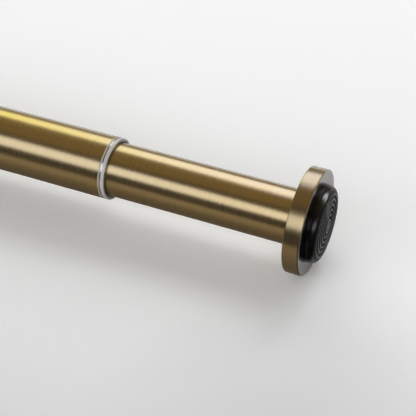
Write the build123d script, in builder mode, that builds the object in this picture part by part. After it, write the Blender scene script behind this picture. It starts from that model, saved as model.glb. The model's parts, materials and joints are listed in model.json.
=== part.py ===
from build123d import *
import math
import os

os.makedirs("parts", exist_ok=True)

# A telescoping tension curtain rod, in millimetres.
# The rod lies along X. The origin is the middle of the fixed foot's face, where it meets
# the wall, and +X runs along the rod to the foot that slides.

# Tubes
tube_diameter = 25.4
slide_tube_diameter = 22.0
tube_wall = 0.7
tube_length = 687.0
slide_tube_length = 530.0
shown_length = 77.2
tube_edge_break = 0.15

# Clear plastic ring in the larger tube's mouth
collar_length = 2.5
collar_lip = 0.4
collar_groove = 0.8
collar_groove_depth = 0.3
collar_edge_break = 0.25
sleeve_length = 18.0
sleeve_slit_width = 1.6
sleeve_slit_length = 12.0

# Flange and rubber foot
flange_diameter = 41.6
flange_thickness = 6.5
flange_rim_break = 0.45
foot_diameter = 30.5
foot_stand = 4.8
foot_seat_depth = 1.5
foot_crown = 0.7
foot_shoulder_radius = 2.6
foot_face_wall = 2.2
foot_side_wall = 2.0
foot_lip_width = 1.0
foot_lip_length = 1.8
button_radius = 2.6
ridge_pitch = 1.95
ridge_count = 5
groove_depth = 0.9
tube_seat_depth = 2.0

# Plug in each tube's end
plug_length = 20.0
plug_rib_height = 0.7
plug_rib_width = 1.6
plug_rib_count = 8
plug_wall = 2.0
plug_boss_radius = 4.6
plug_floor = 5.0

# Screws
flange_screw_diameter = 5.0
flange_screw_length = 16.0
flange_screw_head_diameter = 9.0
flange_screw_head_height = 2.6
cam_screw_diameter = 4.0
cam_screw_length = 12.0
cam_screw_head_diameter = 7.2
cam_screw_head_height = 2.4
screw_recess_width = 1.0
screw_recess_span = 0.5
screw_recess_depth = 0.5
screw_head_break = 0.35
screw_tip_break = 0.5

# Guide bush and glide ring at the smaller tube's inner end
bush_length = 22.0
bush_head = 3.0
bush_neck_depth = 1.5
bush_rim = 1.5
bush_rim_lip = 0.9
glide_width = 6.0
glide_slit_width = 1.5

# Plunger, its piston and the spring
rod_across_flats = 8.0
rod_end_break = 0.6
spring_travel = 25.0
travel_margin = 1.0
piston_length = 10.0
spigot_length = 6.0
spigot_radius = 6.0
rod_in_spigot = 4.0
pin_diameter = 3.0
pin_length = 18.0
pin_end_break = 0.3
washer_thickness = 1.0
spring_length = 80.0
spring_turns = 7
spring_wire = 1.8
spring_wire_sides = 5
spring_coil_radius = 7.5
stop_length = 12.0
stop_bore_radius = 2.5

# Eccentric lock
cam_offset = 1.2
cam_hub_radius = 7.0
cam_collar_radius = 9.0
cam_collar_thickness = 2.0
cam_ring_length = 15.6
cam_tube_gap = 0.45
cam_slit_width = 2.0
cam_groove_count = 16
cam_groove_depth = 0.4
cam_groove_width = 1.2
cam_washer_radius = 9.5
cam_washer_thickness = 1.2

# Clearances between pieces
press_gap = 0.05
running_gap = 0.1
axial_gap = 0.2
screw_gap = 0.3
piston_gap = 0.2

# Radii that follow from the tubes
tube_radius = tube_diameter / 2
tube_bore = tube_radius - tube_wall
slide_radius = slide_tube_diameter / 2
slide_bore = slide_radius - tube_wall

# Depths behind a foot's face
flange_front = foot_stand
flange_back = foot_stand + flange_thickness
foot_seat = foot_stand + foot_seat_depth
tube_seat = flange_back - tube_seat_depth

# Places along the rod
tube_start = tube_seat
mouth = tube_start + tube_length
ring_front = mouth + collar_length
slide_face = ring_front + shown_length + flange_back
slide_inner_end = slide_face - tube_seat - slide_tube_length
bush_end = slide_inner_end + bush_length
glide_front = slide_inner_end - bush_head - running_gap
bush_tip = glide_front - glide_width - running_gap - bush_rim
piston_start = bush_end + axial_gap
piston_end = piston_start + piston_length
spring_start = piston_end + washer_thickness
stop_start = spring_start + spring_length
hub_start = bush_tip - spring_travel - travel_margin
cam_front = hub_start - cam_collar_thickness - axial_gap
hub_end = cam_front - cam_ring_length - axial_gap
rod_length = piston_end + rod_in_spigot - hub_end


def section_plane(x, way=1):
    """Plane square to the rod at x, facing along the rod in the given way."""
    return Plane(origin=(x, 0, 0), x_dir=(0, 1, 0), z_dir=(way, 0, 0))


def profile_plane(x, way=1):
    """Plane through the rod's axis: its x runs along the rod and its y points away from the axis."""
    return Plane(origin=(x, 0, 0), x_dir=(way, 0, 0), z_dir=(0, -way, 0))


def make_tube(start, length, radius):
    """Drawn tube with the outer edges of its ends lightly broken."""
    with BuildPart() as tube:
        with BuildSketch(section_plane(start)):
            Circle(radius)
            Circle(radius - tube_wall, mode=Mode.SUBTRACT)
        extrude(amount=length)
        outer_edges = tube.edges().filter_by(GeomType.CIRCLE).group_by(SortBy.RADIUS)[-1]
        chamfer(outer_edges, length=tube_edge_break)
    return tube


def make_flange(face, way, radius_of_tube):
    """Turned disc, with a seat for the rubber foot in front and one for the tube's end behind."""
    front = face - way * flange_front
    back = face - way * flange_back
    with BuildPart() as flange:
        with BuildSketch(section_plane(front, -way)):
            Circle(flange_diameter / 2)
        extrude(amount=flange_thickness)
        chamfer(flange.edges().filter_by(GeomType.CIRCLE), length=flange_rim_break)
        with BuildSketch(section_plane(front, -way)):
            Circle(foot_diameter / 2 + press_gap)
        extrude(amount=foot_seat_depth, mode=Mode.SUBTRACT)
        with BuildSketch(section_plane(back, way)):
            Circle(radius_of_tube + press_gap)
        extrude(amount=tube_seat_depth, mode=Mode.SUBTRACT)
        with Locations(section_plane(front, way)):
            Hole(flange_screw_diameter / 2 + screw_gap)
    return flange


def crown_drop(radius):
    """How far the foot's crowned face lies behind its flat centre at a radius."""
    return foot_crown * (radius - button_radius) / (foot_diameter / 2 - button_radius)


def make_foot_pad(face, way):
    """Rubber cup with a crowned, ridged face and an inner lip that snaps behind the core's rim."""
    foot_radius = foot_diameter / 2
    cup_radius = foot_radius - foot_side_wall
    lip_radius = cup_radius - foot_lip_width
    lip_front = foot_seat - foot_lip_length
    ridges = [button_radius + ridge_pitch * (k + 0.5) for k in range(ridge_count)]
    with BuildPart() as pad:
        with BuildSketch(profile_plane(face, way)) as section:
            with BuildLine():
                Polyline(
                    (0, 0),
                    (0, button_radius),
                    (-foot_crown, foot_radius),
                    (-foot_seat, foot_radius),
                    (-foot_seat, lip_radius),
                    (-lip_front, lip_radius),
                    (-lip_front, cup_radius),
                    (-foot_face_wall, cup_radius),
                    (-foot_face_wall, 0),
                    close=True,
                )
            make_face()
            shoulder = section.vertices().group_by(Axis.Y)[-1].sort_by(Axis.X)[-1]
            fillet(shoulder, radius=foot_shoulder_radius)
            with Locations(*[(-crown_drop(radius), radius) for radius in ridges]):
                Rectangle(groove_depth * math.sqrt(2), groove_depth * math.sqrt(2), rotation=45,
                          mode=Mode.SUBTRACT)
        revolve(axis=Axis.X)
    return pad


def make_foot_core(face, way):
    """Stiff disc inside the rubber cup, counterbored for the flange screw's head."""
    core_radius = foot_diameter / 2 - foot_side_wall - press_gap
    front = foot_face_wall + press_gap
    neck_front = foot_seat - foot_lip_length - press_gap
    with BuildPart() as core:
        with BuildSketch(section_plane(face - way * front, -way)):
            Circle(core_radius)
        extrude(amount=neck_front - front)
        with BuildSketch(section_plane(face - way * foot_seat, way)):
            Circle(core_radius - foot_lip_width)
        extrude(amount=foot_seat - neck_front)
        with Locations(section_plane(face - way * front, way)):
            CounterBoreHole(
                radius=flange_screw_diameter / 2 + screw_gap,
                counter_bore_radius=flange_screw_head_diameter / 2 + screw_gap,
                counter_bore_depth=flange_screw_head_height + axial_gap,
            )
    return core


def make_screw(seat, way, diameter, length, head_diameter, head_height):
    """Pan-head screw with a cross recess; its head's underside is at seat."""
    with BuildPart() as screw:
        with BuildSketch(section_plane(seat, -way)):
            Circle(diameter / 2)
        extrude(amount=length)
        tip = screw.faces().sort_by(Axis.X)[0 if way > 0 else -1]
        chamfer(tip.edges(), length=screw_tip_break)
        with BuildSketch(section_plane(seat, way)):
            Circle(head_diameter / 2)
        extrude(amount=head_height)
        top = screw.faces().sort_by(Axis.X)[-1 if way > 0 else 0]
        chamfer(top.edges(), length=head_height * screw_head_break)
        with BuildSketch(section_plane(seat + way * head_height, -way)):
            Rectangle(screw_recess_width, head_diameter * screw_recess_span)
            Rectangle(head_diameter * screw_recess_span, screw_recess_width)
        extrude(amount=head_height * screw_recess_depth, mode=Mode.SUBTRACT)
    return screw


def make_flange_screw(face, way):
    """Screw that clamps the foot core and the flange to the plug."""
    seat_depth = foot_face_wall + press_gap + flange_screw_head_height + axial_gap
    return make_screw(
        face - way * seat_depth,
        way,
        flange_screw_diameter,
        flange_screw_length,
        flange_screw_head_diameter,
        flange_screw_head_height,
    )


def make_end_plug(face, way, bore):
    """Cored plug with crush ribs, pressed into the tube until it is level with its end."""
    start = face - way * tube_seat
    body_radius = bore - plug_rib_height
    with BuildPart() as plug:
        with BuildSketch(section_plane(start, -way)):
            Circle(body_radius)
            with PolarLocations(body_radius, plug_rib_count):
                Rectangle(2 * (plug_rib_height - press_gap), plug_rib_width)
        extrude(amount=plug_length)
        with BuildSketch(section_plane(start - way * plug_length, way)):
            Circle(body_radius - plug_wall)
            Circle(plug_boss_radius, mode=Mode.SUBTRACT)
        extrude(amount=plug_length - plug_floor, mode=Mode.SUBTRACT)
        with Locations(section_plane(start, way)):
            Hole(flange_screw_diameter / 2 + press_gap)
    return plug


def hexagon(across_flats):
    """Hexagon centred on the rod's axis."""
    return RegularPolygon(radius=across_flats / 2, side_count=6, major_radius=False)


# The larger tube
outer_tube = make_tube(tube_start, tube_length, tube_radius)

# The smaller tube
inner_tube = make_tube(slide_inner_end, slide_tube_length, slide_radius)

# The ring in the larger tube's mouth: a grooved collar outside and a slit sleeve inside
ring_bore = slide_radius + running_gap
sleeve_radius = tube_bore - press_gap
groove_start = collar_lip
groove_end = collar_lip + collar_groove
with BuildPart() as mouth_ring:
    with BuildSketch(profile_plane(mouth)) as ring_section:
        with BuildLine():
            Polyline(
                (-sleeve_length, ring_bore),
                (collar_length, ring_bore),
                (collar_length, tube_radius),
                (groove_end, tube_radius),
                (groove_end, tube_radius - collar_groove_depth),
                (groove_start, tube_radius - collar_groove_depth),
                (groove_start, tube_radius),
                (0, tube_radius),
                (0, sleeve_radius),
                (-sleeve_length, sleeve_radius),
                close=True,
            )
        make_face()
        front_corner = ring_section.vertices().group_by(Axis.Y)[-1].sort_by(Axis.X)[-1]
        chamfer(front_corner, length=collar_edge_break)
    revolve(axis=Axis.X)
    with BuildSketch(section_plane(mouth - sleeve_length)):
        Rectangle(tube_diameter, sleeve_slit_width)
        Rectangle(sleeve_slit_width, tube_diameter)
    extrude(amount=sleeve_slit_length, mode=Mode.SUBTRACT)

# The two ends: flange, rubber foot, its core, the screw and the plug
fixed_flange = make_flange(0, -1, tube_radius)
fixed_foot_pad = make_foot_pad(0, -1)
fixed_foot_core = make_foot_core(0, -1)
fixed_flange_screw = make_flange_screw(0, -1)
fixed_end_plug = make_end_plug(0, -1, tube_bore)
sliding_flange = make_flange(slide_face, 1, slide_radius)
sliding_foot_pad = make_foot_pad(slide_face, 1)
sliding_foot_core = make_foot_core(slide_face, 1)
sliding_flange_screw = make_flange_screw(slide_face, 1)
sliding_end_plug = make_end_plug(slide_face, 1, slide_bore)

# Guide bush: pressed into the smaller tube, with a neck for the glide ring and a hexagonal bore
neck_radius = slide_radius - bush_neck_depth
with BuildPart() as guide_bush:
    with BuildSketch(profile_plane(slide_inner_end)):
        with BuildLine():
            Polyline(
                (bush_length, 0),
                (bush_length, slide_bore - press_gap),
                (0, slide_bore - press_gap),
                (0, slide_radius),
                (-bush_head, slide_radius),
                (-bush_head, neck_radius),
                (bush_tip + bush_rim - slide_inner_end, neck_radius),
                (bush_tip + bush_rim - slide_inner_end, neck_radius + bush_rim_lip),
                (bush_tip - slide_inner_end, neck_radius),
                (bush_tip - slide_inner_end, 0),
                close=True,
            )
        make_face()
    revolve(axis=Axis.X)
    with BuildSketch(section_plane(bush_tip)):
        hexagon(rod_across_flats + 2 * running_gap)
    extrude(amount=bush_end - bush_tip, mode=Mode.SUBTRACT)

# Glide ring: split, so that it snaps over the bush's rim and runs in the larger tube
glide_bore = neck_radius + running_gap
glide_radius = tube_bore - running_gap
with BuildPart() as glide_ring:
    with BuildSketch(section_plane(glide_front - glide_width)):
        Circle(glide_radius)
        Circle(glide_bore, mode=Mode.SUBTRACT)
        with Locations((0, -(glide_radius + glide_bore) / 2)):
            Rectangle(glide_slit_width, glide_radius, mode=Mode.SUBTRACT)
    extrude(amount=glide_width)

# Plunger rod: hexagonal bar, cross-drilled for the pin and drilled in its end for the cam screw
pin_place = piston_start + piston_length / 2
with BuildPart() as plunger_rod:
    with BuildSketch(section_plane(hub_end)):
        hexagon(rod_across_flats)
    extrude(amount=rod_length)
    rod_end = plunger_rod.faces().sort_by(Axis.X)[-1]
    chamfer(rod_end.edges(), length=rod_end_break)
    with Locations(section_plane(hub_end, -1)):
        Hole(cam_screw_diameter / 2 + press_gap, depth=cam_screw_length)
    with Locations(Plane(origin=(pin_place, 0, 0), z_dir=(0, 1, 0))):
        Hole(pin_diameter / 2 + press_gap)

# Piston: runs in the smaller tube and carries the spring on its spigot
with BuildPart() as plunger_head:
    with BuildSketch(section_plane(piston_start)):
        Circle(slide_bore - piston_gap)
    extrude(amount=piston_length)
    with BuildSketch(section_plane(piston_end)):
        Circle(spigot_radius)
    extrude(amount=spigot_length)
    with BuildSketch(section_plane(piston_start)):
        hexagon(rod_across_flats + 2 * press_gap)
    extrude(amount=piston_length + spigot_length, mode=Mode.SUBTRACT)
    with Locations(Plane(origin=(pin_place, 0, 0), z_dir=(0, 1, 0))):
        Hole(pin_diameter / 2 + press_gap)

# Cross pin through the piston and the rod
with BuildPart() as plunger_pin:
    with BuildSketch(Plane(origin=(pin_place, -pin_length / 2, 0), z_dir=(0, 1, 0))):
        Circle(pin_diameter / 2)
    extrude(amount=pin_length)
    chamfer(plunger_pin.edges().filter_by(GeomType.CIRCLE), length=pin_end_break)

# Washer between the piston and the spring
with BuildPart() as thrust_washer:
    with BuildSketch(section_plane(piston_end)):
        Circle(slide_bore - piston_gap)
        Circle(spigot_radius + piston_gap, mode=Mode.SUBTRACT)
    extrude(amount=washer_thickness)

# Compression spring, its two ends ground flat
with BuildPart() as compression_spring:
    with BuildLine() as coil:
        Helix(
            pitch=spring_length / spring_turns,
            height=spring_length,
            radius=spring_coil_radius,
            center=(spring_start, 0, 0),
            direction=(1, 0, 0),
        )
    with BuildSketch(Plane(origin=coil.line @ 0, z_dir=coil.line % 0)):
        RegularPolygon(radius=spring_wire / 2, side_count=spring_wire_sides)
    sweep(path=coil.line, is_frenet=True)
    split(bisect_by=section_plane(spring_start), keep=Keep.TOP)
    split(bisect_by=section_plane(stop_start), keep=Keep.BOTTOM)

# Spring stop, fixed in the smaller tube
with BuildPart() as spring_stop:
    with BuildSketch(section_plane(stop_start)):
        Circle(slide_bore - press_gap)
    extrude(amount=stop_length)
    with BuildSketch(section_plane(stop_start, -1)):
        Circle(spigot_radius)
    extrude(amount=spigot_length)
    with Locations(section_plane(stop_start)):
        Hole(stop_bore_radius)

# Eccentric hub on the rod's outer end
with BuildPart() as cam_hub:
    with BuildSketch(section_plane(hub_start, -1)):
        Circle(cam_collar_radius)
    extrude(amount=cam_collar_thickness)
    with BuildSketch(section_plane(hub_end)):
        with Locations((0, cam_offset)):
            Circle(cam_hub_radius)
    extrude(amount=hub_start - cam_collar_thickness - hub_end)
    with BuildSketch(section_plane(hub_end)):
        hexagon(rod_across_flats + 2 * press_gap)
    extrude(amount=hub_start - hub_end, mode=Mode.SUBTRACT)

# Split ring on the hub: its bore is as eccentric as the hub, so that a turn pushes it sideways
cam_radius = tube_bore - cam_tube_gap
cam_bore = cam_hub_radius + running_gap
with BuildPart() as cam_ring:
    with BuildSketch(section_plane(cam_front - cam_ring_length)):
        Circle(cam_radius)
        with Locations((0, cam_offset)):
            Circle(cam_bore, mode=Mode.SUBTRACT)
        with Locations((0, cam_radius)):
            Rectangle(cam_slit_width, 2 * (cam_radius - cam_offset - cam_bore) + cam_slit_width,
                      mode=Mode.SUBTRACT)
        with PolarLocations(cam_radius, cam_groove_count, start_angle=180 / cam_groove_count):
            Rectangle(2 * cam_groove_depth, cam_groove_width, mode=Mode.SUBTRACT)
    extrude(amount=cam_ring_length)

# Washer that keeps the ring on the hub
with BuildPart() as cam_washer:
    with BuildSketch(section_plane(hub_end, -1)):
        Circle(cam_washer_radius)
        Circle(cam_screw_diameter / 2 + screw_gap, mode=Mode.SUBTRACT)
    extrude(amount=cam_washer_thickness)

# Screw in the rod's end
cam_screw = make_screw(
    hub_end - cam_washer_thickness,
    -1,
    cam_screw_diameter,
    cam_screw_length,
    cam_screw_head_diameter,
    cam_screw_head_height,
)

pieces = {
    "outer_tube": outer_tube,
    "mouth_ring": mouth_ring,
    "fixed_flange": fixed_flange,
    "fixed_foot_pad": fixed_foot_pad,
    "fixed_foot_core": fixed_foot_core,
    "fixed_flange_screw": fixed_flange_screw,
    "fixed_end_plug": fixed_end_plug,
    "glide_ring": glide_ring,
    "inner_tube": inner_tube,
    "guide_bush": guide_bush,
    "spring_stop": spring_stop,
    "sliding_flange": sliding_flange,
    "sliding_foot_pad": sliding_foot_pad,
    "sliding_foot_core": sliding_foot_core,
    "sliding_flange_screw": sliding_flange_screw,
    "sliding_end_plug": sliding_end_plug,
    "plunger_rod": plunger_rod,
    "plunger_head": plunger_head,
    "plunger_pin": plunger_pin,
    "thrust_washer": thrust_washer,
    "compression_spring": compression_spring,
    "cam_hub": cam_hub,
    "cam_ring": cam_ring,
    "cam_washer": cam_washer,
    "cam_screw": cam_screw,
}
for name, piece in pieces.items():
    piece.part.label = name
    export_step(piece.part, f"parts/{name}.step")

# Places that the joints use
sleeve_end = mouth - sleeve_length
swing = 2 * math.degrees(math.asin(cam_tube_gap / (2 * cam_offset)))
print(f"overall length {slide_face:.2f}")
print(f"telescope from {-shown_length:.2f} to {sleeve_end - glide_front:.2f}")
print(f"cam axis at x {cam_front - cam_ring_length / 2:.2f}, z {cam_offset:.2f}, meets the tube at {swing:.1f} deg")
print(f"spring stop at x {stop_start:.2f}")
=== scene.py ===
# %% [markdown]
# # A tension curtain rod in brushed antique brass
# The rod is two tubes that slide in one another, with a round flange and a black rubber foot
# on each end. Almost every piece is turned, so almost every piece here starts as a half
# section that is spun about the rod's axis, as on a lathe.

# %% Load the rod's solids and keep their box
import json
import math

import bmesh
import bpy
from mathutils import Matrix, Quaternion, Vector


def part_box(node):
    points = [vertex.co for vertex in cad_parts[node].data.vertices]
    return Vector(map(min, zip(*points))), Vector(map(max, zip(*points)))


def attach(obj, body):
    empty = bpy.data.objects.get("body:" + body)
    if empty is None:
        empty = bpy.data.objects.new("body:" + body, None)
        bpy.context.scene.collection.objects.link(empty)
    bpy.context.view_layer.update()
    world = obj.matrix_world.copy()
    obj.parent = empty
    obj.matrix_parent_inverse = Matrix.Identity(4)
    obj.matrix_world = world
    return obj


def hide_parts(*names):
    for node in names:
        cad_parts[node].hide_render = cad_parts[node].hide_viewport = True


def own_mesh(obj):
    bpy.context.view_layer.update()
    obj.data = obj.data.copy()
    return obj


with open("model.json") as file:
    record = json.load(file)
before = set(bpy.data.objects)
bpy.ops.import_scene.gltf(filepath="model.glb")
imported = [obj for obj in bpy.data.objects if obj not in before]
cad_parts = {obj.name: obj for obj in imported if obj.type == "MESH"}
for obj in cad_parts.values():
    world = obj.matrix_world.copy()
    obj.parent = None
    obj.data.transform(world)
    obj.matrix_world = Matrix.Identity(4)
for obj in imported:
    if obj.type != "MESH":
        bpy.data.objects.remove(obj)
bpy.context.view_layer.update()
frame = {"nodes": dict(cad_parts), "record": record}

nodes = frame["nodes"]

# %% [markdown]
# ## Places along the rod
# The rod lies along X, with the fixed foot's face at X = 0. Each place is read from the box of
# the solid that it belongs to, so the dressed pieces stay where the solids are.

# %% Read the places and radii from the solids
MM = 0.001
outer_low, outer_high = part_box("outer_tube")
inner_low, inner_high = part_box("inner_tube")
ring_low, ring_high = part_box("mouth_ring")
flange_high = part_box("sliding_flange")[1]
pad_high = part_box("sliding_foot_pad")[1]

outer_radius = outer_high.z
inner_radius = inner_high.z
flange_radius = flange_high.z
pad_radius = pad_high.z
tube_wall = 0.7 * MM
floor_level = -flange_radius
print("mouth at", round(outer_high.x, 4), "ring front at", round(ring_high.x, 4))

# %% [markdown]
# ## Drawing and spinning a section
# A lathe cuts a profile. In Blender the same thing is a line of edges in the XZ plane, drawn by
# extruding one vertex from corner to corner, with chosen corners rounded by a vertex bevel, and
# then spun once round X. The spin leaves a seam, and a pole where the line meets the axis, so
# doubles are merged and the normals are made to point outwards before anything else is done.

# %% Helpers for drawing, rounding and spinning
SPIN_STEPS = 160
SMOOTH_ANGLE = math.radians(35)
CORNER_REACH = 1e-6


def deselect_all():
    """Nothing is selected, so that the next operator acts on its own piece alone."""
    bpy.ops.object.select_all(action="DESELECT")


def select_corners(piece, corners):
    """In edit mode, selects the section's vertices that lie at these corners."""
    mesh = bmesh.from_edit_mesh(piece.data)
    for vertex in mesh.verts:
        near = [abs(vertex.co.x - x) + abs(vertex.co.z - r) < CORNER_REACH for x, r in corners]
        vertex.select_set(any(near))
    mesh.select_flush(True)
    bmesh.update_edit_mesh(piece.data)


def draw_section(name, corners, closed=True):
    """Draws a half section as one line of edges, and leaves the piece in edit mode."""
    deselect_all()
    bpy.ops.mesh.primitive_plane_add(size=MM, location=(corners[0][0], 0, corners[0][1]))
    piece = bpy.context.object
    piece.name = name
    piece.data.name = name
    bpy.ops.object.transform_apply(location=True, rotation=True, scale=True)
    bpy.ops.object.mode_set(mode="EDIT")
    bpy.ops.mesh.select_mode(type="VERT")
    bpy.ops.mesh.select_all(action="SELECT")
    bpy.ops.mesh.merge(type="CENTER")
    for here, there in zip(corners, corners[1:]):
        step = (there[0] - here[0], 0, there[1] - here[1])
        bpy.ops.mesh.extrude_vertices_move(TRANSFORM_OT_translate={"value": step})
    if closed:
        select_corners(piece, [corners[0], corners[-1]])
        bpy.ops.mesh.edge_face_add()
    return piece


def round_corners(piece, corners, radius, segments=4):
    """In edit mode, rounds chosen corners of the drawn section."""
    select_corners(piece, corners)
    bpy.ops.mesh.bevel(offset=radius, segments=segments, affect="VERTICES")


def spin_section(piece, smooth_angle=SMOOTH_ANGLE):
    """Spins the drawn section once round the rod's axis and closes its seam and poles."""
    bpy.ops.mesh.select_all(action="SELECT")
    bpy.ops.mesh.spin(steps=SPIN_STEPS, angle=math.tau, center=(0, 0, 0), axis=(1, 0, 0))
    bpy.ops.mesh.select_all(action="SELECT")
    bpy.ops.mesh.remove_doubles(threshold=CORNER_REACH)
    bpy.ops.mesh.normals_make_consistent(inside=False)
    bpy.ops.object.mode_set(mode="OBJECT")
    bpy.ops.object.shade_smooth_by_angle(angle=smooth_angle)
    print(piece.name, len(piece.data.polygons), "faces")
    return piece


# %% [markdown]
# ## The two tubes
# Both are thin drawn tubes, cut square, with a lightly broken outer edge. A tube could be a
# cylinder with a Solidify modifier, but a spun section gives the rounded edges at once. A long
# face shades badly when one end of it belongs to a tiny rounding, so the section has an extra
# corner just inside each end: the light then runs straight along the rest of the tube.

# %% Turn the tubes
EDGE_ROUND = 0.15 * MM
HOLD = 0.6 * MM


def make_tube(name, start, end, radius):
    """Tube with rounded outer edges and a hold line beside each of them."""
    bore = radius - tube_wall
    corners = [(start, bore), (start, radius), (start + HOLD, radius), (end - HOLD, radius),
               (end, radius), (end, bore), (end - HOLD, bore), (start + HOLD, bore)]
    tube = draw_section(name, corners)
    round_corners(tube, [(start, radius), (end, radius)], EDGE_ROUND, segments=3)
    return spin_section(tube)


outer_tube = make_tube("larger_tube", outer_low.x, outer_high.x, outer_radius)
inner_tube = make_tube("smaller_tube", inner_low.x, inner_high.x, inner_radius)

# %% [markdown]
# ## The clear ring in the mouth
# A moulded ring is pushed into the larger tube. Its sleeve hides inside, and its collar shows:
# a narrow lip against the tube, a fine groove, and a wider band whose front edge is rounded and
# catches the light. The solid has the same groove. All of it is one section.

# %% Turn the mouth ring
COLLAR_LIP = 0.4 * MM
COLLAR_GROOVE = 0.8 * MM
COLLAR_GROOVE_DEPTH = 0.3 * MM
COLLAR_EDGE = 0.35 * MM
BORE_EDGE = COLLAR_EDGE * 0.5
GROOVE_EDGE = COLLAR_LIP * 0.25
RING_GAP = 0.1 * MM
SLEEVE_GAP = 0.05 * MM
mouth = outer_high.x
ring_bore = inner_radius + RING_GAP
sleeve_radius = outer_radius - tube_wall - SLEEVE_GAP
groove_start = mouth + COLLAR_LIP
groove_end = groove_start + COLLAR_GROOVE
groove_floor = outer_radius - COLLAR_GROOVE_DEPTH

mouth_ring = draw_section("clear_mouth_ring", [
    (ring_low.x, ring_bore), (ring_high.x, ring_bore), (ring_high.x, outer_radius),
    (groove_end, outer_radius), (groove_end, groove_floor), (groove_start, groove_floor),
    (groove_start, outer_radius), (mouth, outer_radius), (mouth, sleeve_radius),
    (ring_low.x, sleeve_radius)])
round_corners(mouth_ring, [(ring_high.x, outer_radius)], COLLAR_EDGE, segments=5)
round_corners(mouth_ring, [(ring_high.x, ring_bore)], BORE_EDGE, segments=3)
round_corners(mouth_ring, [(groove_end, outer_radius), (groove_start, outer_radius),
                           (mouth, outer_radius)], GROOVE_EDGE, segments=2)
spin_section(mouth_ring)

# %% [markdown]
# ## The flanges
# Each flange is a thick turned disc. The tube's end sits in a recess in its back, and the rubber
# foot sits in a recess in its front. Both rims are broken by a small round that shows in the
# photograph as a thin bright line, so the round is real geometry. The fixed flange is the same
# disc turned the other way, so one function makes both, with way as its direction.

# %% Turn the flanges
RIM_ROUND = 0.45 * MM
SEAT_ROUND = RIM_ROUND * 0.4
RIM_HOLD = 1.0 * MM
PAD_SEAT = 1.5 * MM
TUBE_SEAT = 2.0 * MM
SEAT_GAP = 0.05 * MM
SCREW_HOLE = 2.8 * MM


def ends_of(node, way):
    """The solid's place along the rod on its wall side, and on its other side."""
    low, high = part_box(node)
    return (high.x, low.x) if way > 0 else (low.x, high.x)


def make_flange(name, node, way, tube_radius):
    """Turned disc with a seat in front for the foot and one behind for the tube."""
    front, back = ends_of(node, way)
    pad_seat = pad_radius + SEAT_GAP
    tube_seat = tube_radius + SEAT_GAP
    hold = flange_radius - RIM_HOLD
    corners = [
        (front - way * PAD_SEAT, SCREW_HOLE), (front - way * PAD_SEAT, pad_seat),
        (front, pad_seat), (front, hold), (front, flange_radius),
        (front - way * RIM_HOLD, flange_radius), (back + way * RIM_HOLD, flange_radius),
        (back, flange_radius), (back, hold), (back, tube_seat),
        (back + way * TUBE_SEAT, tube_seat), (back + way * TUBE_SEAT, SCREW_HOLE)]
    flange = draw_section(name, corners)
    round_corners(flange, [(front, flange_radius), (back, flange_radius)], RIM_ROUND, segments=4)
    round_corners(flange, [(front, pad_seat)], SEAT_ROUND, segments=2)
    return spin_section(flange)


sliding_flange = make_flange("sliding_flange_disc", "sliding_flange", 1, inner_radius)
fixed_flange = make_flange("fixed_flange_disc", "fixed_flange", -1, outer_radius)

# %% [markdown]
# ## The rubber feet
# The foot is a moulded rubber cup. Its face is slightly crowned and carries concentric ridges
# round a flat button, and its shoulder is rounded. V-shaped grooves part the ridges, and every
# edge of them is rounded, because a mould leaves no sharp edge in rubber. Under the face the cup
# is hollow, with a lip that snaps behind a stiff core.

# %% Turn the rubber feet
BUTTON = 2.6 * MM
CROWN = 0.7 * MM
RIDGE_PITCH = 1.95 * MM
RIDGES = 5
GROOVE = 0.9 * MM
GROOVE_ROUND = 0.12 * MM
SHOULDER = 2.6 * MM
FACE_WALL = 2.2 * MM
SIDE_WALL = 2.0 * MM
LIP_WIDTH = 1.0 * MM
LIP_LENGTH = 1.8 * MM
FOOT_SMOOTH_ANGLE = math.radians(60)


def crown_drop(radius):
    """How far the crowned face lies behind the button at a radius."""
    return CROWN * (radius - BUTTON) / (pad_radius - BUTTON)


def make_foot(name, node, way):
    """Ridged rubber cup."""
    face, seat = ends_of(node, way)
    groove_corners = []
    for k in range(RIDGES):
        middle = BUTTON + RIDGE_PITCH * (k + 0.5)
        for radius, depth in ((middle - GROOVE, 0), (middle, GROOVE), (middle + GROOVE, 0)):
            groove_corners.append((face - way * (crown_drop(radius) + depth), radius))
    shoulder = (face - way * CROWN, pad_radius)
    cup = pad_radius - SIDE_WALL
    lip = cup - LIP_WIDTH
    under = face - way * FACE_WALL
    lip_front = seat + way * LIP_LENGTH
    corners = [(face, 0), (face, BUTTON - GROOVE), *groove_corners, shoulder,
               (seat, pad_radius), (seat, lip), (lip_front, lip), (lip_front, cup),
               (under, cup), (under, 0)]
    foot = draw_section(name, corners, closed=False)
    round_corners(foot, groove_corners, GROOVE_ROUND, segments=3)
    round_corners(foot, [shoulder], SHOULDER, segments=8)
    round_corners(foot, [(seat, pad_radius)], GROOVE_ROUND, segments=3)
    return spin_section(foot, smooth_angle=FOOT_SMOOTH_ANGLE)


sliding_foot = make_foot("sliding_rubber_foot", "sliding_foot_pad", 1)
fixed_foot = make_foot("fixed_rubber_foot", "fixed_foot_pad", -1)

# %% [markdown]
# ## The spring inside
# The spring that holds the rod between its walls is wound from steel wire, and its ends are
# ground flat. A circle of wire is wound by a Screw modifier, one turn per pitch. When the plunger
# moves in, the spring is pressed together towards its stop: 80 mm at rest and 55 mm with the
# plunger fully in.

# %% Wind the spring
SPRING_WIRE = 1.8 * MM
SPRING_COIL = 7.5 * MM
SPRING_TURNS = 7
STEPS_A_TURN = 48
WIRE_SIDES = 12
spring_low, spring_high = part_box("compression_spring")
spring_length = spring_high.x - spring_low.x

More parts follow.
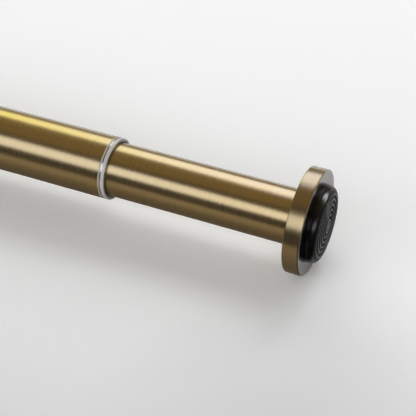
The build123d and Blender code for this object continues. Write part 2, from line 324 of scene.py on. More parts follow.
deselect_all()
bpy.ops.mesh.primitive_circle_add(vertices=WIRE_SIDES, radius=SPRING_WIRE / 2,
                                  location=(spring_low.x, 0, SPRING_COIL),
                                  rotation=(math.radians(90), 0, 0))
spring = bpy.context.object
spring.name = "wound_spring"
spring.data.name = "wound_spring"
bpy.ops.object.transform_apply(location=True, rotation=True, scale=True)
bpy.ops.object.modifier_add(type="SCREW")
screw = spring.modifiers[-1]
screw.axis = "X"
screw.angle = math.tau
screw.screw_offset = spring_length / SPRING_TURNS
screw.iterations = SPRING_TURNS
screw.steps = STEPS_A_TURN
screw.render_steps = STEPS_A_TURN
bpy.ops.object.modifier_apply(modifier=screw.name)
for vertex in spring.data.vertices:
    vertex.co.x = min(max(vertex.co.x, spring_low.x), spring_high.x)
bpy.ops.object.mode_set(mode="EDIT")
bpy.ops.mesh.select_mode(type="EDGE")
bpy.ops.mesh.select_all(action="DESELECT")
bpy.ops.mesh.select_non_manifold()
bpy.ops.mesh.fill_holes(sides=WIRE_SIDES)
bpy.ops.mesh.select_all(action="SELECT")
bpy.ops.mesh.normals_make_consistent(inside=False)
bpy.ops.object.mode_set(mode="OBJECT")
bpy.ops.object.shade_smooth_by_angle(angle=SMOOTH_ANGLE)

# %% [markdown]
# ## Finishes
# Every material is made of nodes on Object coordinates, which stay with the piece when it slides
# or turns. A piece that is turned about X has two natural coordinates: X itself and the distance
# from the axis. Their sum runs along the tube, and it runs outwards on a flange's face, so one
# noise stretched round that sum draws brush rings on both.

# %% Helpers for materials
NOISE_LOW = 0.3
NOISE_HIGH = 0.7


def new_material(name):
    """Material with a Principled shader, and the short names that the next cells use."""
    material = bpy.data.materials.new(name)
    material.use_nodes = True
    tree = material.node_tree
    shader = tree.nodes["Principled BSDF"]
    return material, tree, shader


def add_node(tree, kind, **settings):
    """A node with its settings."""
    node = tree.nodes.new(kind)
    for key, value in settings.items():
        setattr(node, key, value)
    return node


def math_node(tree, operation, first, second):
    """One sum on two values or sockets."""
    node = add_node(tree, "ShaderNodeMath", operation=operation)
    for socket, value in zip(node.inputs, (first, second)):
        if isinstance(value, (int, float)):
            socket.default_value = value
        else:
            tree.links.new(value, socket)
    return node.outputs[0]


def split_place(tree, kind="Object"):
    """The Object coordinates, or another kind, split into X, Y and Z."""
    split = add_node(tree, "ShaderNodeSeparateXYZ")
    tree.links.new(add_node(tree, "ShaderNodeTexCoord").outputs[kind], split.inputs[0])
    return split


def place_on_rod(tree):
    """The Object coordinates split into X, Y and Z, and the distance from the rod's axis."""
    split = split_place(tree)
    square_y = math_node(tree, "MULTIPLY", split.outputs["Y"], split.outputs["Y"])
    square_z = math_node(tree, "MULTIPLY", split.outputs["Z"], split.outputs["Z"])
    radius = math_node(tree, "SQRT", math_node(tree, "ADD", square_y, square_z), 0.0)
    return split, radius


def turned_coordinates(tree, across, around):
    """Coordinates that run fast along the rod or out from its axis, and slowly round it."""
    split, radius = place_on_rod(tree)
    along = math_node(tree, "ADD", split.outputs["X"], radius)
    join = add_node(tree, "ShaderNodeCombineXYZ")
    tree.links.new(math_node(tree, "MULTIPLY", along, across), join.inputs["X"])
    tree.links.new(math_node(tree, "MULTIPLY", split.outputs["Y"], around), join.inputs["Y"])
    tree.links.new(math_node(tree, "MULTIPLY", split.outputs["Z"], around), join.inputs["Z"])
    return join.outputs[0]


def turned_noise(tree, across, around, detail=2.0):
    """Noise on the turned coordinates."""
    node = add_node(tree, "ShaderNodeTexNoise")
    node.inputs["Scale"].default_value = 1.0
    node.inputs["Detail"].default_value = detail
    tree.links.new(turned_coordinates(tree, across, around), node.inputs["Vector"])
    return node.outputs["Fac"]


def ramp(tree, value, low, high, from_low=NOISE_LOW, from_high=NOISE_HIGH):
    """Maps a value to a range. Unless told otherwise it comes from where a noise mostly lies."""
    node = add_node(tree, "ShaderNodeMapRange")
    tree.links.new(value, node.inputs["Value"])
    node.inputs["From Min"].default_value = from_low
    node.inputs["From Max"].default_value = from_high
    node.inputs["To Min"].default_value = low
    node.inputs["To Max"].default_value = high
    return node.outputs["Result"]


def mix_colours(tree, factor, first, second):
    """Blend of two colours, each of them three numbers or a socket."""
    node = add_node(tree, "ShaderNodeMix", data_type="RGBA")
    tree.links.new(factor, node.inputs["Factor"])
    for socket, colour in ((node.inputs["A"], first), (node.inputs["B"], second)):
        if isinstance(colour, tuple):
            socket.default_value = (*colour, 1)
        else:
            tree.links.new(colour, socket)
    return node.outputs["Result"]


def colour_by(tree, shader, value, deep, light):
    """Colours the material by a noise, from deep to light."""
    mixed = mix_colours(tree, ramp(tree, value, 0, 1), deep, light)
    tree.links.new(mixed, shader.inputs["Base Color"])


def roughen_by(tree, shader, value, low, high):
    """Varies the roughness by a noise."""
    tree.links.new(ramp(tree, value, low, high), shader.inputs["Roughness"])


def add_bump(tree, shader, height, distance, strength=1.0):
    """Bump from a height."""
    node = add_node(tree, "ShaderNodeBump")
    node.inputs["Distance"].default_value = distance
    node.inputs["Strength"].default_value = strength
    tree.links.new(height, node.inputs["Height"])
    tree.links.new(node.outputs["Normal"], shader.inputs["Normal"])


# %% [markdown]
# ### Brushed antique brass
# The rod is brass-plated steel that was brushed as it turned. The scratches run round it, so the
# surface is rough along the rod and much smoother round it: that is anisotropy, with a tangent
# that circles the X axis and a quarter turn that lays the rough way along the rod. Fine rings
# vary the colour and the roughness a little, and a slow stain gives the antique tone.

# %% Make the brass
BRASS_LIGHT = (0.48, 0.37, 0.155)
BRASS_DEEP = (0.42, 0.315, 0.115)
FLANGE_LIGHT = (0.36, 0.275, 0.115)
FLANGE_DEEP = (0.31, 0.23, 0.085)
BRUSH_FINE = 3500.0
BRUSH_BROAD = 500.0
BRUSH_ROUND = 35.0
STAIN = 9.0
FINE_SHARE = 0.6
BROAD_SHARE = 0.4
BRASS_SMOOTHEST = 0.27
BRASS_ROUGHEST = 0.33
BRUSHED = 0.6
QUARTER_TURN = 0.25
LACQUER_ROUGHNESS = 0.24
LACQUER_IOR = 1.9
BRUSH_DEPTH = 0.0007 * MM


def make_brass(name, deep, light):
    """Brass brushed round the rod's axis, under a clear lacquer."""
    brass, tree, shader = new_material(name)
    fine_rings = turned_noise(tree, BRUSH_FINE, BRUSH_ROUND, detail=3.0)
    broad_rings = turned_noise(tree, BRUSH_BROAD, STAIN)
    tone = math_node(tree, "ADD", math_node(tree, "MULTIPLY", fine_rings, FINE_SHARE),
                     math_node(tree, "MULTIPLY", broad_rings, BROAD_SHARE))
    colour_by(tree, shader, tone, deep, light)
    roughen_by(tree, shader, fine_rings, BRASS_SMOOTHEST, BRASS_ROUGHEST)
    shader.inputs["Metallic"].default_value = 1.0
    shader.inputs["Anisotropic"].default_value = BRUSHED
    shader.inputs["Anisotropic Rotation"].default_value = QUARTER_TURN
    tangent = add_node(tree, "ShaderNodeTangent", direction_type="RADIAL", axis="X")
    tree.links.new(tangent.outputs[0], shader.inputs["Tangent"])
    shader.inputs["Coat Weight"].default_value = 1.0
    shader.inputs["Coat Roughness"].default_value = LACQUER_ROUGHNESS
    shader.inputs["Coat IOR"].default_value = LACQUER_IOR
    add_bump(tree, shader, fine_rings, BRUSH_DEPTH)
    print(name, "has", len(tree.nodes), "nodes")
    return brass


tube_brass = make_brass("brushed_antique_brass", BRASS_DEEP, BRASS_LIGHT)
flange_brass = make_brass("deeper_antique_brass", FLANGE_DEEP, FLANGE_LIGHT)

# %% [markdown]
# ### The patina that the brush leaves
# Antique brass is plated, darkened all over, and then brushed where it shows. The side of a
# flange that lies against the wall is never brushed, so it keeps the grey patina. It is a second
# material on those faces: grey, a little smoother than the brushed side, and without its rings.

# %% Make the patina
PATINA_LIGHT = (0.42, 0.41, 0.41)
PATINA_DEEP = (0.34, 0.33, 0.33)
MOTTLE_ACROSS = 500.0
MOTTLE_AROUND = 200.0
MOTTLE_DEPTH = 0.001 * MM

patina, tree, shader = new_material("dark_patina")
mottle = turned_noise(tree, MOTTLE_ACROSS, MOTTLE_AROUND, detail=4.0)
colour_by(tree, shader, mottle, PATINA_DEEP, PATINA_LIGHT)
roughen_by(tree, shader, mottle, low=0.18, high=0.24)
shader.inputs["Metallic"].default_value = 1.0
add_bump(tree, shader, mottle, MOTTLE_DEPTH)

# %% [markdown]
# ### Black rubber
# Moulded rubber is nearly black. The side and the shoulder have a soft gloss, and a fine grain
# keeps it from looking like paint. The ridged face is duller, and along the crests of its ridges
# lies a painted highlight, a pale line in the colour. A distance from the axis that goes to and
# fro once per ridge finds the crests, so the painted highlights lie on them exactly.

# %% Make the rubber
RUBBER_DARK = (0.001, 0.001, 0.001)
RUBBER_DUSTY = (0.003, 0.003, 0.003)
RUBBER_CREST_HIGHLIGHT = (0.42, 0.42, 0.42)
CREST_HIGHLIGHT_WIDTH = 0.22 * MM
GRAIN = 2600.0
GRAIN_DEPTH = 0.006 * MM
GRAIN_STRENGTH = 0.5
DUST = 220.0
DUST_ROUGHENS = 0.06


def make_rubber(name, smoothest, gloss):
    """Black rubber without its colour; gives back its tree, its shader and its dust too."""
    black, tree, shader = new_material(name)
    grain = turned_noise(tree, GRAIN, GRAIN, detail=3.0)
    dust = turned_noise(tree, DUST, DUST)
    roughen_by(tree, shader, dust, smoothest, smoothest + DUST_ROUGHENS)
    shader.inputs["Specular IOR Level"].default_value = gloss
    add_bump(tree, shader, grain, GRAIN_DEPTH, strength=GRAIN_STRENGTH)
    return black, tree, shader, dust


rubber, tree, shader, dust = make_rubber("black_rubber", smoothest=0.22, gloss=0.36)
colour_by(tree, shader, dust, RUBBER_DARK, RUBBER_DUSTY)

ridged_rubber, tree, shader, dust = make_rubber("black_rubber_ridged", smoothest=0.3, gloss=0.07)
radius = place_on_rod(tree)[1]
from_button = math_node(tree, "SUBTRACT", radius, BUTTON)
from_crest = math_node(tree, "PINGPONG", from_button, RIDGE_PITCH / 2)
# Painted highlight: a pale line in the colour along the crest of each ridge.
crest = ramp(tree, from_crest, 1, 0, 0, CREST_HIGHLIGHT_WIDTH)
tree.links.new(mix_colours(tree, crest, RUBBER_DARK, RUBBER_CREST_HIGHLIGHT), shader.inputs["Base Color"])

# %% [markdown]
# ### Clear plastic
# The ring is clear plastic with a faint warm cast. It stands over brass, so what it shows is
# mostly bent light and its own bright edges: little of the light passes, and the rest is
# scattered.

# %% Make the clear plastic
PLASTIC_CLEAR = (0.80, 0.77, 0.73)
PLASTIC_CLOUD = (0.66, 0.635, 0.60)
CLOUD_ACROSS = 300.0
CLOUD_AROUND = 120.0
ACRYLIC_IOR = 1.49
PASSES = 0.08

clear_plastic, tree, shader = new_material("clear_plastic")
cloud = turned_noise(tree, CLOUD_ACROSS, CLOUD_AROUND)
colour_by(tree, shader, cloud, PLASTIC_CLOUD, PLASTIC_CLEAR)
roughen_by(tree, shader, cloud, low=0.16, high=0.26)
shader.inputs["IOR"].default_value = ACRYLIC_IOR
shader.inputs["Transmission Weight"].default_value = PASSES

# %% [markdown]
# Where the groove makes the ring thin, its inner side throws the light back, as the inside of a
# clear rod does, and the stripe looks like dull silver. That is a metal-like finish in a shader,
# so the groove gets a second material.

# %% Make the silvery stripe
STRIPE_LIGHT = (0.60, 0.58, 0.56)
STRIPE_DEEP = (0.48, 0.46, 0.45)
STRIPE_ROUGHNESS = 0.2
STRIPE_METAL = 0.8

silvery_stripe, tree, shader = new_material("plastic_mirror_stripe")
colour_by(tree, shader, turned_noise(tree, CLOUD_ACROSS, CLOUD_AROUND), STRIPE_DEEP, STRIPE_LIGHT)
shader.inputs["Roughness"].default_value = STRIPE_ROUGHNESS
shader.inputs["Metallic"].default_value = STRIPE_METAL

# %% [markdown]
# The ring's front face looks along the rod. Beside the smaller tube its colour carries painted
# shade, the shade of the gap between the two tubes, as a dark brown line, and further out it is
# pale. A distance from the axis blends the two in a third material.

# %% Make the ring's front
FRONT_CLEAR = (0.62, 0.62, 0.63)
FRONT_CLOUD = (0.52, 0.52, 0.53)
FRONT_ROUGHNESS = 0.25
FRONT_METAL = 0.5
GAP_PAINTED_SHADE = (0.05, 0.035, 0.02)
DARK_UNTIL = inner_radius + 0.3 * MM
PALE_FROM = inner_radius + 1.1 * MM

shaded_plastic, tree, shader = new_material("plastic_with_painted_gap_shade")
radius = place_on_rod(tree)[1]
cloud = ramp(tree, turned_noise(tree, CLOUD_ACROSS, CLOUD_AROUND), 0, 1)
pale = mix_colours(tree, cloud, FRONT_CLOUD, FRONT_CLEAR)
outwards = ramp(tree, radius, 0, 1, DARK_UNTIL, PALE_FROM)
# Painted shade: dark brown next to the smaller tube, pale further out.
tree.links.new(mix_colours(tree, outwards, GAP_PAINTED_SHADE, pale), shader.inputs["Base Color"])
shader.inputs["Roughness"].default_value = FRONT_ROUGHNESS
shader.inputs["Metallic"].default_value = FRONT_METAL

# %% [markdown]
# ### Nylon and steel inside
# The lock, the guides and the plugs are natural nylon, and the rod, pin, washers and screws are
# zinc-plated steel. They are hidden while the rod is whole, but each has its own finish, because
# the rod may be taken apart.

# %% Make the hidden finishes
NYLON_LIGHT = (0.78, 0.77, 0.72)
NYLON_DEEP = (0.70, 0.69, 0.64)
ZINC_LIGHT = (0.72, 0.73, 0.75)
ZINC_DEEP = (0.55, 0.56, 0.58)
SPRING_LIGHT = (0.46, 0.46, 0.47)
SPRING_DEEP = (0.30, 0.30, 0.31)
FLOW_ACROSS = 160.0
FLOW_AROUND = 90.0
FLOW_DEPTH = 0.01 * MM
GLOW_SHARE = 0.1
GLOW_REACH = 1.0 * MM
STEEL_ACROSS = 2200.0
STEEL_AROUND = 60.0
STEEL_DEPTH = 0.003 * MM
RINGS_ROUGHEN = 0.1

nylon, tree, shader = new_material("natural_nylon")
flow = turned_noise(tree, FLOW_ACROSS, FLOW_AROUND, detail=3.0)
colour_by(tree, shader, flow, NYLON_DEEP, NYLON_LIGHT)
roughen_by(tree, shader, flow, low=0.42, high=0.55)
shader.inputs["Subsurface Weight"].default_value = GLOW_SHARE
shader.inputs["Subsurface Scale"].default_value = GLOW_REACH
add_bump(tree, shader, flow, FLOW_DEPTH)


def make_steel(name, deep, light, smoothest):
    """Steel with turned rings in its tone and its roughness."""
    steel, tree, shader = new_material(name)
    rings = turned_noise(tree, STEEL_ACROSS, STEEL_AROUND)
    colour_by(tree, shader, rings, deep, light)
    roughen_by(tree, shader, rings, smoothest, smoothest + RINGS_ROUGHEN)
    shader.inputs["Metallic"].default_value = 1.0
    add_bump(tree, shader, rings, STEEL_DEPTH)
    return steel


zinc_steel = make_steel("zinc_plated_steel", ZINC_DEEP, ZINC_LIGHT, smoothest=0.26)
spring_steel = make_steel("spring_steel", SPRING_DEEP, SPRING_LIGHT, smoothest=0.32)

# %% [markdown]
# ## Dressing the rod
# Each new piece stands for one solid, rides on the same body and gets its finish. Some faces
# of the ring, the flanges and the feet get a further finish, and they are found by where they lie
# and which way they look. The solids that stay get a finish in their own material slots.

# %% Helpers that find faces and paint them
WALL_SIDE = 0.9


def from_axis(face):
    """How far the face's middle lies from the rod's axis."""
    return math.hypot(face.center.y, face.center.z)


def faces_in_groove(piece):
    """Numbers of the faces in the collar's groove."""
    return [face.index for face in piece.data.polygons
            if groove_start < face.center.x < groove_end
            and from_axis(face) > groove_floor - SLEEVE_GAP]


def faces_towards_wall(piece, way):
    """Numbers of the faces that look along the rod to the wall."""
    return [face.index for face in piece.data.polygons if face.normal.x * way > WALL_SIDE]


def ridged_faces(piece, node, way):
    """Numbers of the faces on the ridged side, up to the middle of the shoulder."""
    front = ends_of(node, way)[0]
    return [face.index for face in piece.data.polygons
            if from_axis(face) < pad_radius - SHOULDER / 2
            and abs(face.center.x - front) < CROWN + GROOVE]


def paint_faces(piece, material, chosen):
    """Gives the chosen faces a further finish."""
    piece.data.materials.append(material)
    for index in chosen:
        piece.data.polygons[index].material_index = len(piece.data.materials) - 1


# %% Put each new piece in its solid's place
def dress(piece, material, body, node):
    """Gives a piece its finish and its body, and hides the solid that it stands for."""
    piece.data.materials.append(material)
    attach(piece, body)
    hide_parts(node)


dress(outer_tube, tube_brass, "outer", "outer_tube")
dress(inner_tube, tube_brass, "inner", "inner_tube")
dress(mouth_ring, clear_plastic, "outer", "mouth_ring")
paint_faces(mouth_ring, silvery_stripe, faces_in_groove(mouth_ring))
paint_faces(mouth_ring, shaded_plastic, faces_towards_wall(mouth_ring, 1))
dress(fixed_flange, flange_brass, "outer", "fixed_flange")
dress(sliding_flange, flange_brass, "inner", "sliding_flange")
paint_faces(fixed_flange, patina, faces_towards_wall(fixed_flange, -1))
paint_faces(sliding_flange, patina, faces_towards_wall(sliding_flange, 1))
dress(fixed_foot, rubber, "outer", "fixed_foot_pad")
dress(sliding_foot, rubber, "inner", "sliding_foot_pad")
paint_faces(fixed_foot, ridged_rubber, ridged_faces(fixed_foot, "fixed_foot_pad", -1))
paint_faces(sliding_foot, ridged_rubber, ridged_faces(sliding_foot, "sliding_foot_pad", 1))

dress(spring, spring_steel, "inner", "compression_spring")
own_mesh(spring)

# %% Give the hidden solids their finishes
finish_of_slot = {
    "white_plastic": nylon,
    "zinc_steel": zinc_steel,
    "spring_steel": spring_steel,
    "antique_brass": tube_brass,
    "black_rubber": rubber,
    "clear_plastic": clear_plastic,
}
for subpart in frame["record"]["subparts"]:
    node = nodes[subpart["node"]]
    for material_slot in node.material_slots:
        material_slot.material = finish_of_slot[subpart["material_slot"]]

# %% [markdown]
# ## The floor and the light
# The rod lies on a pale table under two long rows of soft boxes. On a shiny cylinder each row
# becomes a band along the tube, and the dark gap between the rows becomes the olive stripe
# between the bands. One row hangs behind the rod, high up, and the other in front, lower down.
# The photograph's bands grow paler towards the foot, so each row is made of a few boxes with
# their own tint, and each box is seen by its own stretch of the rod. Only reflections see them.
# Two plain white boxes just behind them light what is matt, so the floor stays neutral.
#
# The floor's paint has a lift that only the camera sees, which keeps the table pale without more
# light on the rod. The lift is weaker in front of the rod, which paints shade there, and in one
# spot before the foot, which paints a soft shadow. Far out the floor fades into the background,
# so no horizon shows.

# %% Helpers for the stage
def distance_from(tree, point):
    """Distance of the Object coordinates from a point."""
    node = add_node(tree, "ShaderNodeVectorMath", operation="DISTANCE")
    node.inputs[1].default_value = point
    tree.links.new(add_node(tree, "ShaderNodeTexCoord").outputs["Object"], node.inputs[0])
    return node.outputs["Value"]


def mix_shaders(tree, factor, first, second):
    """Blend of two shaders."""
    node = add_node(tree, "ShaderNodeMixShader")
    for socket, value in zip(node.inputs, (factor, first, second)):
        tree.links.new(value, socket)
    return node.outputs[0]


# %% Lay the floor
FLOOR_SIZE = 12.0
FLOOR_COLOUR = (0.82, 0.82, 0.82)
FLOOR_LIFT = (0.36, 0.36, 0.36)
FRONT_EDGE = -0.12
FRONT_SHADE_LIFT = 0.28
PAINTED_SHADOW_SPOT = (0.803, -0.092)
PAINTED_SHADOW_REACH = 0.075
PAINTED_SHADOW_LIFT = 0.2
BACKGROUND = (0.92, 0.92, 0.92)
FADE_START = 0.55
FADE_END = 1.1
rod_middle = pad_high.x / 2

deselect_all()
bpy.ops.mesh.primitive_plane_add(size=FLOOR_SIZE, location=(rod_middle, 0, floor_level))
floor = bpy.context.object
floor.name = "floor"
bpy.ops.object.transform_apply(location=True, rotation=True, scale=True)

floor_paint = bpy.data.materials.new("floor_paint")
floor_paint.use_nodes = True
tree = floor_paint.node_tree
tree.nodes.remove(tree.nodes["Principled BSDF"])
to_camera = add_node(tree, "ShaderNodeLightPath").outputs["Is Camera Ray"]
matt = add_node(tree, "ShaderNodeBsdfDiffuse")
matt.inputs["Color"].default_value = (*FLOOR_COLOUR, 1)

# Painted soft shadow: the lift drops in a round spot before the foot.
painted_shadow = ramp(tree, distance_from(tree, (*PAINTED_SHADOW_SPOT, floor_level)), PAINTED_SHADOW_LIFT, 1, 0, PAINTED_SHADOW_REACH)
# Painted shade: the lift fades towards the front of the rod.
front_shade = ramp(tree, split_place(tree).outputs["Y"], FRONT_SHADE_LIFT, 1, FRONT_EDGE, 0)
graded = math_node(tree, "MULTIPLY", painted_shadow, front_shade)
lift_seen = math_node(tree, "MULTIPLY", graded, to_camera)
lift = add_node(tree, "ShaderNodeBsdfDiffuse")
tree.links.new(mix_colours(tree, lift_seen, (0, 0, 0), FLOOR_LIFT), lift.inputs["Color"])
both = add_node(tree, "ShaderNodeAddShader")
tree.links.new(matt.outputs[0], both.inputs[0])
tree.links.new(lift.outputs[0], both.inputs[1])

far = add_node(tree, "ShaderNodeEmission")
far.inputs["Color"].default_value = (*BACKGROUND, 1)
away = distance_from(tree, (rod_middle, 0, floor_level))
fade_seen = math_node(tree, "MULTIPLY", ramp(tree, away, 0, 1, FADE_START, FADE_END), to_camera)
blend = mix_shaders(tree, fade_seen, both.outputs[0], far.outputs[0])
tree.links.new(blend, tree.nodes["Material Output"].inputs["Surface"])
floor.data.materials.append(floor_paint)

# %% [markdown]
# ### The lamps
# A table gives each soft box the stretch of the rod beside it, its tilt from straight up to the
# front and its spread in degrees as seen from the rod, its level and its tint. The plain boxes
# hang a little further out, because area lights in one plane take light from one another.
#
# The boxes past the end leave the rubber feet out. What the feet mirror instead is two oval shine
# lamps, which light nothing else: they give the rubber shoulder its two bright spots.
#
# A small key lamp behind the rod casts the soft shadow in front of it, and metal doesn't see it.

# %% Hang the soft boxes
BOX_DISTANCE = 1.0
PLAIN_BOX_DISTANCE = 1.06
ROW_START = -0.55
ROW_END = 1.35
WHITE = (1, 1, 1)
MIRRORED_BOXES = (
    # name, from x, to x, tilt, spread, level, tint
    ("back_box_far", ROW_START, 0.20, -54, 28, 1.6, (1, 0.98, 0.35)),
    ("back_box_ring", 0.20, 0.32, -51, 34, 1.6, (1, 1.02, 0.85)),
    ("back_box_tube", 0.32, 0.50, -49.5, 37, 1.6, (1, 1.06, 1.3)),
    ("back_box_flange", 0.50, 0.62, -44.5, 48, 1.85, (1, 1.06, 1.5)),
    ("back_box_foot", 0.62, ROW_END, -49.5, 37, 1.4, WHITE),
    ("front_box_tube", ROW_START, 0.42, 57, 31, 1.55, (1, 1.02, 1.2)),
    ("front_box_flange", 0.42, 0.60, 58, 27, 1.2, (1, 1, 1.2)),
    ("front_box_foot", 0.60, ROW_END, 58, 26, 2.2, WHITE),
)
PLAIN_BOXES = (
    ("back_plain_box", ROW_START, ROW_END, -49.5, 37, 1.55, WHITE),
    ("front_plain_box", ROW_START, ROW_END, 57.5, 29, 1.6, WHITE),
)
ROUND_SHAPES = ("DISK", "ELLIPSE")


def hang_lamp(name, shape, width, height, level, place):
    """Area lamp that the camera doesn't see. Its level is how bright it looks."""
    light = bpy.data.lights.new(name, "AREA")
    light.shape = shape
    light.size = width
    light.size_y = height
    area = width * height * (math.pi / 4 if shape in ROUND_SHAPES else 1)
    light.energy = level * math.pi * area
    lamp = bpy.data.objects.new(name, light)
    bpy.context.scene.collection.objects.link(lamp)
    lamp.location = place
    lamp.visible_camera = False
    return lamp


def beside_rod(x, angle, distance):
    """The place at this distance from the axis, turned from straight up to the front."""
    return Vector((x, -math.sin(angle) * distance, math.cos(angle) * distance))


def hang_soft_box(name, start, end, tilt, spread, level, tint, distance):
    """Soft box beside the rod that looks at it."""
    angle = math.radians(tilt)
    height = 2 * distance * math.tan(math.radians(spread / 2))
    box = hang_lamp(name, "RECTANGLE", end - start, height, level,
                    beside_rod((start + end) / 2, angle, distance))
    box.data.color = tint
    box.rotation_euler = (angle, 0, 0)
    return box


mirrored_boxes = [hang_soft_box(*row, BOX_DISTANCE) for row in MIRRORED_BOXES]
for box in mirrored_boxes:
    box.visible_diffuse = False
for row in PLAIN_BOXES:
    hang_soft_box(*row, PLAIN_BOX_DISTANCE).visible_glossy = False


def link_light(lamp, pieces, state):
    """The lamp lights these pieces alone, with state INCLUDE, or leaves them out, with EXCLUDE."""
    chosen = bpy.data.collections.new(lamp.name + "_pieces")
    for piece in pieces:
        chosen.objects.link(piece)
    for entry in chosen.collection_objects:
        entry.light_linking.link_state = state
    lamp.light_linking.receiver_collection = chosen


feet = [sliding_foot, fixed_foot]
for box in mirrored_boxes:
    if box.name.endswith("_foot"):
        link_light(box, feet, "EXCLUDE")

# %% Aim the key lamp
KEY_ANGLE = math.radians(-45)
KEY_DISTANCE = 1.0
KEY_SIZE = 0.17
KEY_LEVEL = 9.5
key = hang_lamp("key_lamp", "DISK", KEY_SIZE, KEY_SIZE, KEY_LEVEL,
                beside_rod(pad_high.x, KEY_ANGLE, KEY_DISTANCE))
key.rotation_euler = (KEY_ANGLE, 0, 0)
key.visible_glossy = False

# %% Hang the shine lamps
SHINE_WIDTH = 1.1


def hang_shine(name, from_foot, turn, height, level):
    """Oval lamp that only the feet mirror. It looks at the foot, turned in its own plane."""
    shine = hang_lamp(name, "ELLIPSE", SHINE_WIDTH, height, level,
                      Vector((pad_high.x, 0, 0)) + Vector(from_foot))
    shine.rotation_mode = "QUATERNION"
    own_turn = Quaternion((0, 0, 1), math.radians(turn))
    shine.rotation_quaternion = (-Vector(from_foot)).to_track_quat("-Z", "Y") @ own_turn
    shine.visible_diffuse = False
    link_light(shine, feet, "INCLUDE")


hang_shine("upper_shine", from_foot=(0.53, 0.66, 0.50), turn=67, height=0.36, level=9.5)
hang_shine("lower_shine", from_foot=(0.64, -0.65, 0.36), turn=-21, height=0.38, level=3.0)

# %% [markdown]
# ### The cards of painted reflection
# On the table lie two cards that only metal and rubber see: they are painted reflections. The long
# one runs along the rod and is folded up at its far edge. Right under the rod it has painted
# shade, then brown, a painted reflection of the warm lower half of the tubes, and then black, a
# painted reflection of the dark line under the front band. The short black one lies in front of
# the foot and keeps the rubber dark with its painted reflection.

# %% Lay the cards
CARD_NEAR = -0.012
CARD_FAR = 0.7
CARD_HEIGHT = 0.17
CARD_LEFT = -1.5
CARD_LIFT = 1 * MM
CARD_BROWN = (0.55, 0.45, 0.33)
CARD_PAINTED_SHADE = (0.27, 0.22, 0.17)
PAINTED_SHADE_FROM = 0.008
BROWN_FROM = 0.032
CARD_BLACK = (0.035, 0.02, 0.006)
BROWN_UNTIL = 0.075
BLACK_FROM = 0.10
FOOT_CARD_NEAR = 0.012
FOOT_CARD_LENGTH = 0.40
PAPER_ROUGHNESS = 0.9


def lay_card(name, start, end, near):
    """Painted reflection card on the table from start to end, and from near the rod to its far
    edge in front.
    """
    deselect_all()
    bpy.ops.mesh.primitive_plane_add(size=1)
    laid = bpy.context.object
    laid.name = name
    laid.scale = (end - start, CARD_FAR - near, 1)
    laid.location = ((start + end) / 2, -(CARD_FAR + near) / 2, floor_level + CARD_LIFT)
    bpy.ops.object.transform_apply(location=True, rotation=True, scale=True)
    laid.visible_camera = False
    laid.visible_diffuse = False
    laid.visible_shadow = False
    laid.visible_transmission = False
    return laid


card = lay_card("painted_reflection_card", CARD_LEFT, flange_high.x, CARD_NEAR)
bpy.ops.object.mode_set(mode="EDIT")
mesh = bmesh.from_edit_mesh(card.data)
for edge in mesh.edges:
    edge.select_set(all(abs(vertex.co.y + CARD_FAR) < MM for vertex in edge.verts))
bmesh.update_edit_mesh(card.data)
bpy.ops.mesh.extrude_edges_move(TRANSFORM_OT_translate={"value": (0, 0, CARD_HEIGHT)})
bpy.ops.object.mode_set(mode="OBJECT")
# Painted reflection: painted shade nearest the rod, then brown, then black.
painted_reflection_paper, tree, shader = new_material("painted_reflection_paper")
across = split_place(tree).outputs["Y"]
to_painted_shade = ramp(tree, across, 0, 1, -BROWN_FROM, -PAINTED_SHADE_FROM)
to_black = ramp(tree, across, 1, 0, -BLACK_FROM, -BROWN_UNTIL)
near_rod = mix_colours(tree, to_painted_shade, CARD_BROWN, CARD_PAINTED_SHADE)
tree.links.new(mix_colours(tree, to_black, near_rod, CARD_BLACK), shader.inputs["Base Color"])
shader.inputs["Roughness"].default_value = PAPER_ROUGHNESS
card.data.materials.append(painted_reflection_paper)

foot_card = lay_card("painted_dark_reflection_by_foot", flange_high.x, flange_high.x + FOOT_CARD_LENGTH,
                     FOOT_CARD_NEAR)
# Painted reflection: black, so the foot mirrors darkness.
dark_reflection_paper, tree, shader = new_material("dark_reflection_paper")
shader.inputs["Base Color"].default_value = (*CARD_BLACK, 1)
shader.inputs["Roughness"].default_value = PAPER_ROUGHNESS
foot_card.data.materials.append(dark_reflection_paper)

# %% [markdown]
# ### The world
# The camera sees the pale background, matt things get an even fill, and metal and rubber see a
# dim brown room that is darker in front of the rod.

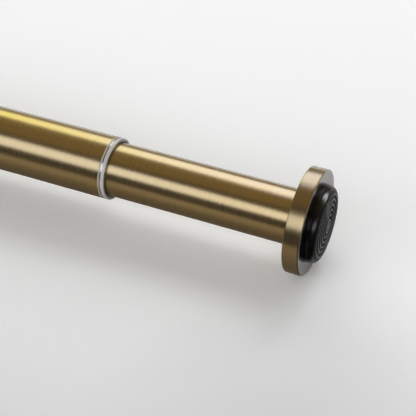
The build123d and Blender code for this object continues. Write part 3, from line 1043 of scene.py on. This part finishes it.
# %% Set the world's level
FILL = (0.29, 0.29, 0.29)
METAL_SEES = (0.26, 0.185, 0.085)
METAL_SEES_IN_FRONT = (0.07, 0.045, 0.02)
FRONT_FROM = -0.30
FRONT_FULL = -0.45
world = bpy.data.worlds.new("studio")
bpy.context.scene.world = world
world.use_nodes = True
tree = world.node_tree
path = add_node(tree, "ShaderNodeLightPath")
fill = tree.nodes["Background"]
fill.inputs["Color"].default_value = (*FILL, 1)
gloss = add_node(tree, "ShaderNodeBackground")
direction = split_place(tree, "Generated")
in_front = ramp(tree, direction.outputs["Y"], 1, 0, FRONT_FULL, FRONT_FROM)
tree.links.new(mix_colours(tree, in_front, METAL_SEES, METAL_SEES_IN_FRONT), gloss.inputs["Color"])
seen = add_node(tree, "ShaderNodeBackground")
seen.inputs["Color"].default_value = (*BACKGROUND, 1)
unseen = mix_shaders(tree, path.outputs["Is Glossy Ray"], fill.outputs[0], gloss.outputs[0])
whole = mix_shaders(tree, path.outputs["Is Camera Ray"], unseen, seen.outputs[0])
tree.links.new(whole, tree.nodes["World Output"].inputs["Surface"])
bpy.context.scene.view_settings.view_transform = "Standard"

# %% [markdown]
# ## The camera
# The photograph was taken with a long lens from the camera side of the sliding end, looking down
# at about forty degrees. The camera's place is given from the front of the mouth ring, which is
# the best-known point of the picture.

# %% Set the camera
CAMERA_FROM_RING = Vector((0.17538, -0.31899, 0.28464))
CAMERA_FORWARD = Vector((-0.30035, 0.70369, -0.64390))
CAMERA_LENS = 99.9
CAMERA_SENSOR = 36.0
CAMERA_CLIP = 0.01

camera_data = bpy.data.cameras.new("camera")
camera_data.lens = CAMERA_LENS
camera_data.sensor_width = CAMERA_SENSOR
camera_data.clip_start = CAMERA_CLIP
camera = bpy.data.objects.new("camera", camera_data)
bpy.context.scene.collection.objects.link(camera)
camera.location = Vector((ring_high.x, 0, 0)) + CAMERA_FROM_RING
camera.rotation_mode = "QUATERNION"
camera.rotation_quaternion = CAMERA_FORWARD.to_track_quat("-Z", "Y")
bpy.context.scene.camera = camera
